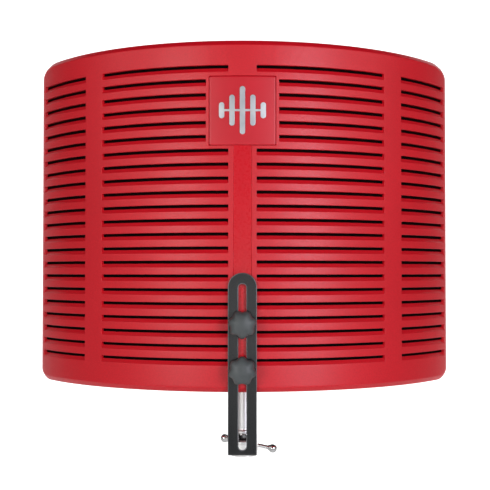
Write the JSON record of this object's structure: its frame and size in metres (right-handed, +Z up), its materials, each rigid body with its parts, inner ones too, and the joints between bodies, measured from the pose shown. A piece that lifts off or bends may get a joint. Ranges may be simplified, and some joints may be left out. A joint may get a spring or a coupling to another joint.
{
  "type": "microphone isolation shield",
  "caption": "Curved slotted microphone isolation shield on a slotted L-bracket with star clamp knobs, a stand collar with a cross-bar screw and a microphone post.",
  "frame": {"origin": "on the stand thread's axis, at the stand collar's bottom face", "axes": "+Z up along the microphone post, +X to the right seen from behind the shield, +Y from the shield towards the microphone"},
  "size_m": [0.395, 0.1514, 0.379],
  "materials": {
    "red_plastic": "satin, fine spark-eroded grain",
    "badge_red": "semi-gloss moulded plate",
    "badge_silver": "satin brushed",
    "black_steel": "satin black powder coat",
    "knob_plastic": "satin dark grey moulding",
    "chrome": "polished chrome plate",
    "satin_nickel": "satin nickel plate",
    "brass": "turned, unplated",
    "zinc_steel": "bright zinc plate",
    "black_felt": "black acoustic felt",
    "black_foam": "black open-cell foam",
    "grey_wool": "needled mineral wool",
    "black_rubber": "matt fibre and rubber washers"
  },
  "bodies": {
    "stand_base": {"stand_collar": "satin_nickel", "post": "chrome", "mic_stud": "chrome"},
    "leg_washers": {"leg_washer_lower": "black_rubber", "leg_washer_upper": "chrome"},
    "bracket": {"support_bracket": "black_steel"},
    "filter": {"rear_shell": "red_plastic", "front_frame": "red_plastic", "rear_felt": "black_felt", "core_wool": "grey_wool", "front_pad": "black_foam", "air_spacer_1": "black_foam", "air_spacer_2": "black_foam", "air_spacer_3": "black_foam", "air_spacer_4": "black_foam", "badge_plate": "badge_red", "badge_emblem": "badge_silver", "spine_plate": "zinc_steel", "insert_lower": "brass", "insert_upper": "brass", "frame_screw_1": "zinc_steel", "frame_screw_2": "zinc_steel", "frame_screw_3": "zinc_steel", "frame_screw_4": "zinc_steel", "frame_screw_5": "zinc_steel", "frame_screw_6": "zinc_steel", "frame_screw_7": "zinc_steel", "frame_screw_8": "zinc_steel"},
    "lower_washer": {"knob_lower_washer": "zinc_steel"},
    "lower_knob": {"knob_lower": "knob_plastic", "knob_lower_bolt": "zinc_steel"},
    "upper_washer": {"knob_upper_washer": "zinc_steel"},
    "upper_knob": {"knob_upper": "knob_plastic", "knob_upper_bolt": "zinc_steel"},
    "clamp_pad": {"clamp_pad": "brass"},
    "clamp_screw": {"clamp_screw": "chrome"},
    "tommy_bar": {"tommy_bar": "chrome", "tommy_ball_left": "chrome", "tommy_ball_right": "chrome"},
    "mic_ring_washer": {"mic_ring_washer": "black_rubber"},
    "mic_ring": {"mic_ring": "chrome"}
  },
  "joints": [
    {"name": "swivel", "type": "hinge", "parent": "stand_base", "child": "leg_washers", "pos_m": [0, 0, 0.018], "axis": [0, 0, 1], "continuous": true},
    {"name": "reach_slide", "type": "slide", "parent": "leg_washers", "child": "bracket", "axis": [0, 1, 0], "range_m": [0, 0.026]},
    {"name": "height_slide", "type": "slide", "parent": "bracket", "child": "filter", "axis": [0, 0, 1], "range_m": [-0.048, 0.029]},
    {"name": "lower_knob_travel", "type": "slide", "parent": "filter", "child": "lower_washer", "axis": [0, -1, 0], "range_m": [0, 0.002]},
    {"name": "lower_knob_turn", "type": "hinge", "parent": "lower_washer", "child": "lower_knob", "pos_m": [0, -0.1, 0.0905], "axis": [0, -1, 0], "range_deg": [0, 720.5]},
    {"name": "upper_knob_travel", "type": "slide", "parent": "filter", "child": "upper_washer", "axis": [0, -1, 0], "range_m": [0, 0.002]},
    {"name": "upper_knob_turn", "type": "hinge", "parent": "upper_washer", "child": "upper_knob", "pos_m": [0, -0.1, 0.13], "axis": [0, -1, 0], "range_deg": [0, 720.5]},
    {"name": "clamp_travel", "type": "slide", "parent": "stand_base", "child": "clamp_pad", "axis": [0, 1, 0], "range_m": [-0.001, 0.002]},
    {"name": "clamp_turn", "type": "hinge", "parent": "clamp_pad", "child": "clamp_screw", "pos_m": [0, 0.022, 0.0081], "axis": [0, 1, 0], "range_deg": [-360.5, 720.5]},
    {"name": "tommy_slide", "type": "slide", "parent": "clamp_screw", "child": "tommy_bar", "axis": [0.9781, 0, -0.2079], "range_m": [-0.018, 0.009]},
    {"name": "mic_ring_travel", "type": "slide", "parent": "stand_base", "child": "mic_ring_washer", "axis": [0, 0, 1], "range_m": [0, 0.00282]},
    {"name": "mic_ring_turn", "type": "hinge", "parent": "mic_ring_washer", "child": "mic_ring", "pos_m": [0, 0, 0.069], "axis": [0, 0, 1], "range_deg": [0, 1080.5]}
  ],
  "couplings": [
    {"joint": "lower_knob_turn", "follows": "lower_knob_travel", "rad_per_m": 6283.2},
    {"joint": "upper_knob_turn", "follows": "upper_knob_travel", "rad_per_m": 6283.2},
    {"joint": "clamp_turn", "follows": "clamp_travel", "rad_per_m": 6283.2},
    {"joint": "mic_ring_turn", "follows": "mic_ring_travel", "rad_per_m": 6684.2}
  ]
}
